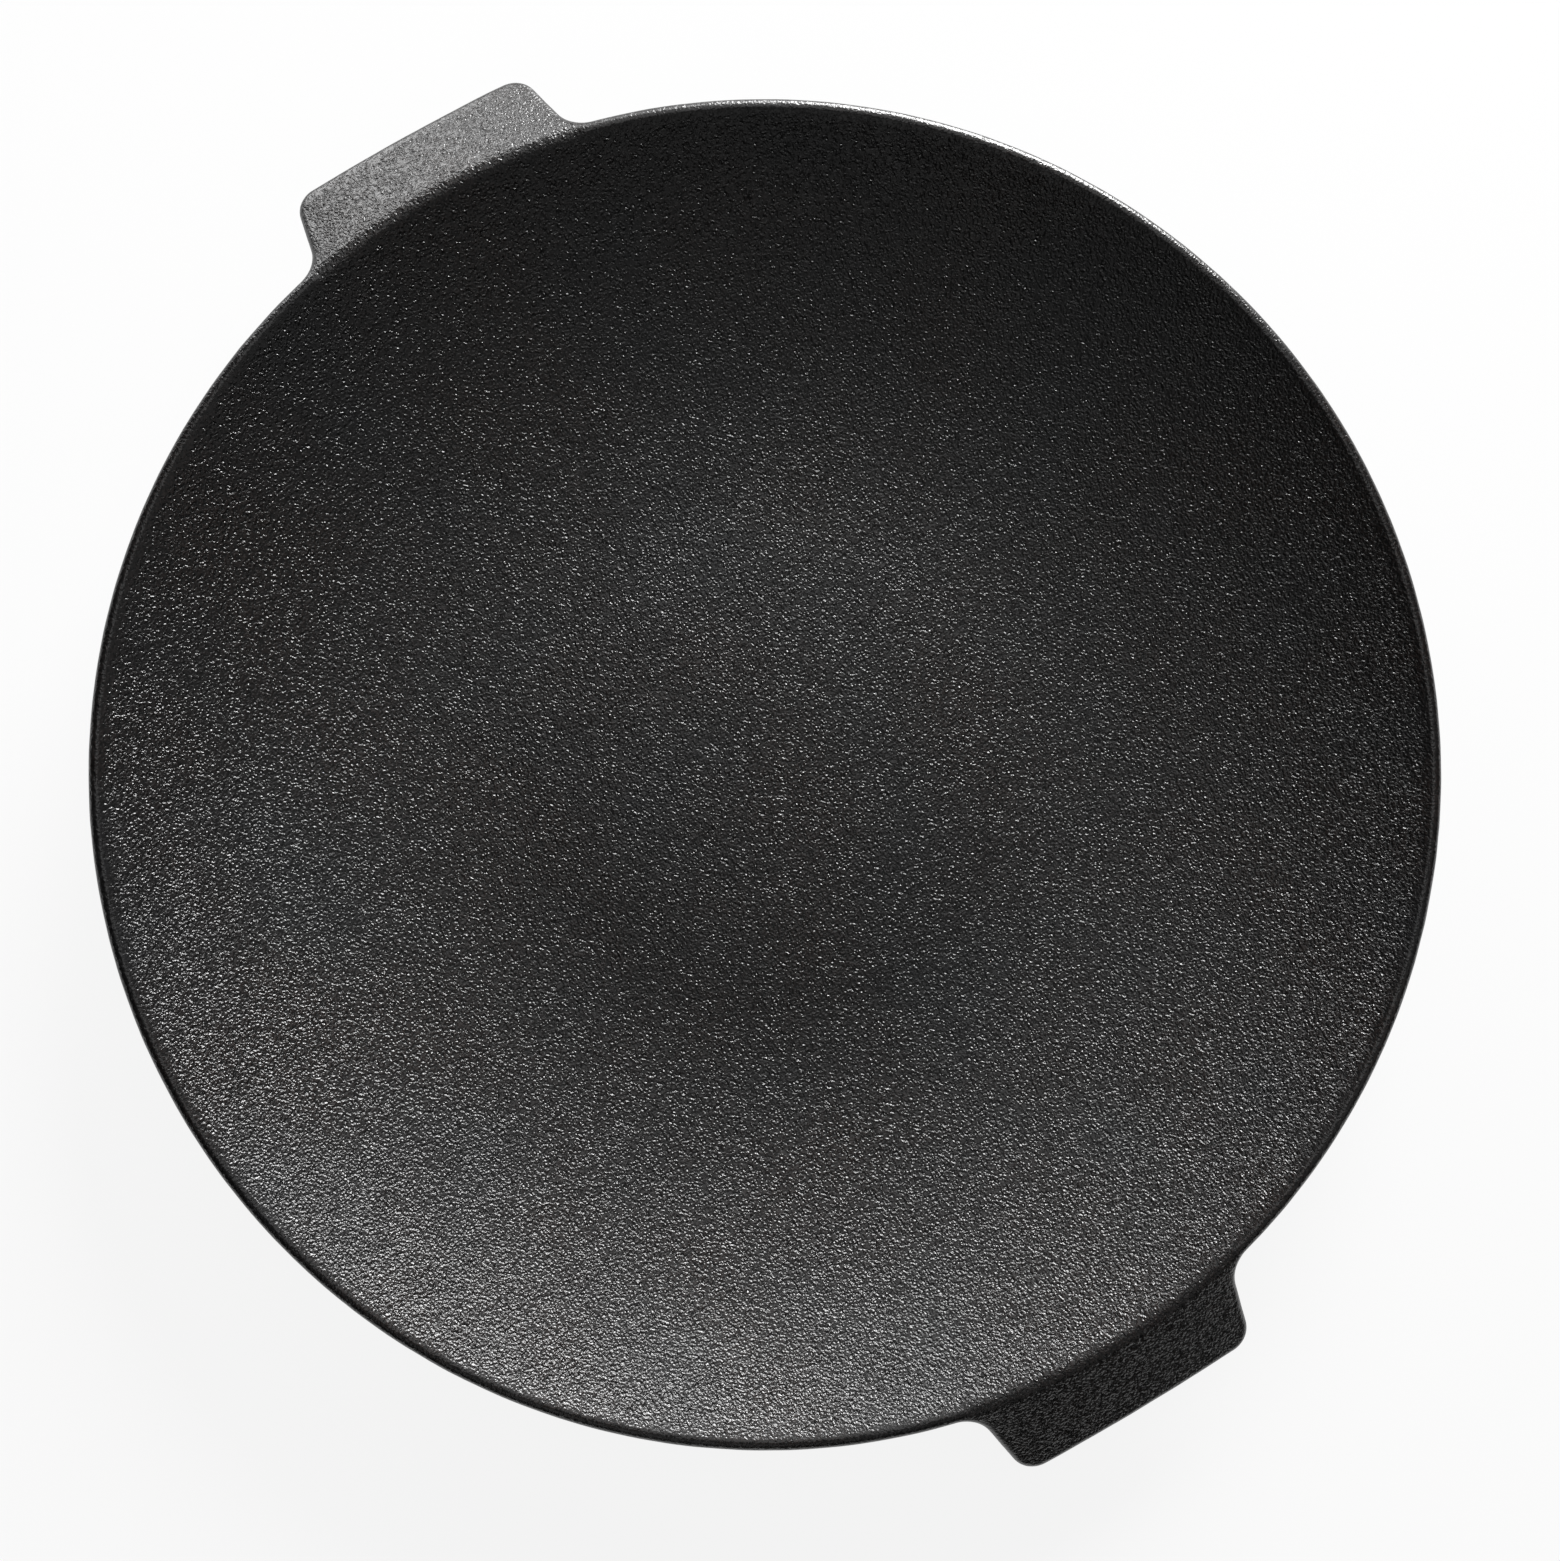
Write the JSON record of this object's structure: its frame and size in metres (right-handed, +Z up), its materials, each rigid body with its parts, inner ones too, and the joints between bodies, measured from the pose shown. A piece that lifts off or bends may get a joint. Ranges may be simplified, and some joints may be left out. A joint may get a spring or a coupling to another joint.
{
  "type": "cast iron grill plate",
  "caption": "Round shallow cast iron grill plate with an upswept rim, a rounded lip and two solid tab handles that slope down, for cooking over a grill or fire.",
  "frame": {"origin": "centre of the flat underside, on the surface the plate rests on", "axes": "+X from one tab handle to the other, +Z up out of the cooking face"},
  "size_m": [0.3932, 0.356, 0.034],
  "materials": {
    "seasoned_iron": "sand cast pebbled skin under black baked oil seasoning, semi-matt"
  },
  "bodies": {
    "root": {"grill_plate": "seasoned_iron"}
  },
  "joints": []
}
